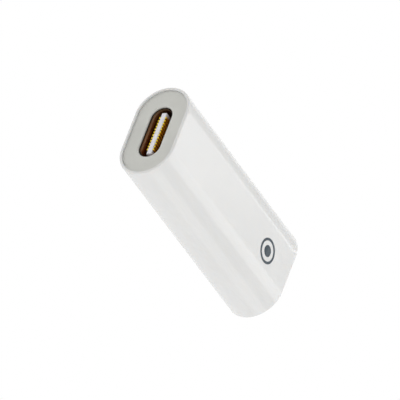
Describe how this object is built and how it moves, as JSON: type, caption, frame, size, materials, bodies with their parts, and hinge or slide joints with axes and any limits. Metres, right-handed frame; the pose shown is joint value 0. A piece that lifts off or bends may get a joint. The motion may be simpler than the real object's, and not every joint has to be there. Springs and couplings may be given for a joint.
{
  "type": "in-line usb-c charging adapter",
  "caption": "Short in-line adapter with full-round sides, a USB-C socket in one end cap and a slim stylus-plug socket in the other.",
  "frame": {"origin": "middle of the adapter's outline on the broad face that it lies on", "axes": "+Y from the USB-C end to the stylus-plug end, +Z out of the printed broad face, +X across"},
  "size_m": [0.0152, 0.035, 0.0089],
  "materials": {
    "housing_white": "polished moulded polycarbonate, warm white",
    "cap_grey": "fine spark-eroded matte, warm light grey",
    "cap_glue": "cured clear-cream adhesive",
    "mark_ink": "pad-printed satin ink, slate grey",
    "shell_steel": "deep-drawn stainless, dark bronze tone",
    "plate_steel": "stamped stainless",
    "spring_steel": "hard-rolled spring stainless",
    "contact_gold": "gold-flashed copper alloy",
    "tongue_white": "glass-filled nylon, cool white",
    "insulator_black": "glass-filled nylon, black",
    "carrier_plastic": "moulded ABS, light grey",
    "board_green": "glass-epoxy board with green solder mask",
    "chip_black": "moulded epoxy",
    "capacitor_tan": "fired ceramic with tinned ends",
    "resistor_black": "glazed ceramic chip with tinned ends"
  },
  "bodies": {
    "adapter_body": {"housing_tube": "housing_white", "front_cap": "cap_grey", "rear_cap": "cap_grey", "front_cap_glue": "cap_glue", "rear_cap_glue": "cap_glue", "mark_ring": "mark_ink", "mark_dot": "mark_ink", "usb_shell": "shell_steel", "usb_tongue": "tongue_white", "usb_rear_insulator": "insulator_black", "usb_mid_plate": "plate_steel", "usb_upper_ground_plate": "plate_steel", "usb_lower_ground_plate": "plate_steel", "usb_upper_contact_1": "contact_gold", "usb_upper_contact_2": "contact_gold", "usb_upper_contact_3": "contact_gold", "usb_upper_contact_4": "contact_gold", "usb_upper_contact_5": "contact_gold", "usb_upper_contact_6": "contact_gold", "usb_upper_contact_7": "contact_gold", "usb_upper_contact_8": "contact_gold", "usb_upper_contact_9": "contact_gold", "usb_upper_contact_10": "contact_gold", "usb_upper_contact_11": "contact_gold", "usb_upper_contact_12": "contact_gold", "usb_lower_contact_1": "contact_gold", "usb_lower_contact_2": "contact_gold", "usb_lower_contact_3": "contact_gold", "usb_lower_contact_4": "contact_gold", "usb_lower_contact_5": "contact_gold", "usb_lower_contact_6": "contact_gold", "usb_lower_contact_7": "contact_gold", "usb_lower_contact_8": "contact_gold", "usb_lower_contact_9": "contact_gold", "usb_lower_contact_10": "contact_gold", "usb_lower_contact_11": "contact_gold", "usb_lower_contact_12": "contact_gold", "circuit_board": "board_green", "controller_chip": "chip_black", "usb_protection_chip": "chip_black", "stylus_protection_chip": "chip_black", "capacitor_1": "capacitor_tan", "capacitor_2": "capacitor_tan", "capacitor_3": "capacitor_tan", "resistor_1": "resistor_black", "resistor_2": "resistor_black", "socket_block": "insulator_black", "socket_cover": "plate_steel", "lower_carrier": "carrier_plastic", "upper_carrier": "carrier_plastic"},
    "spring_contacts": {"spring_contact_1": "contact_gold", "spring_contact_2": "contact_gold", "spring_contact_3": "contact_gold", "spring_contact_4": "contact_gold", "spring_contact_5": "contact_gold", "spring_contact_6": "contact_gold", "spring_contact_7": "contact_gold", "spring_contact_8": "contact_gold"},
    "right_latch": {"latch_spring_right": "spring_steel"},
    "left_latch": {"latch_spring_left": "spring_steel"}
  },
  "joints": [
    {"name": "spring_contacts_flex", "type": "hinge", "parent": "adapter_body", "child": "spring_contacts", "pos_m": [0, 0.0067, 0.00487], "axis": [1, 0, 0], "range_deg": [0, 2.6], "stiffness_Nm_per_rad": 0.0012},
    {"name": "right_latch_flex", "type": "hinge", "parent": "adapter_body", "child": "right_latch", "pos_m": [0.0038, 0.0098, 0.00445], "axis": [0, 0, -1], "range_deg": [0, 5.3], "stiffness_Nm_per_rad": 0.00015},
    {"name": "left_latch_flex", "type": "hinge", "parent": "adapter_body", "child": "left_latch", "pos_m": [-0.0038, 0.0098, 0.00445], "axis": [0, 0, 1], "range_deg": [0, 5.3], "stiffness_Nm_per_rad": 0.00015}
  ],
  "couplings": [
    {"joint": "left_latch_flex", "follows": "right_latch_flex", "ratio": 1}
  ]
}
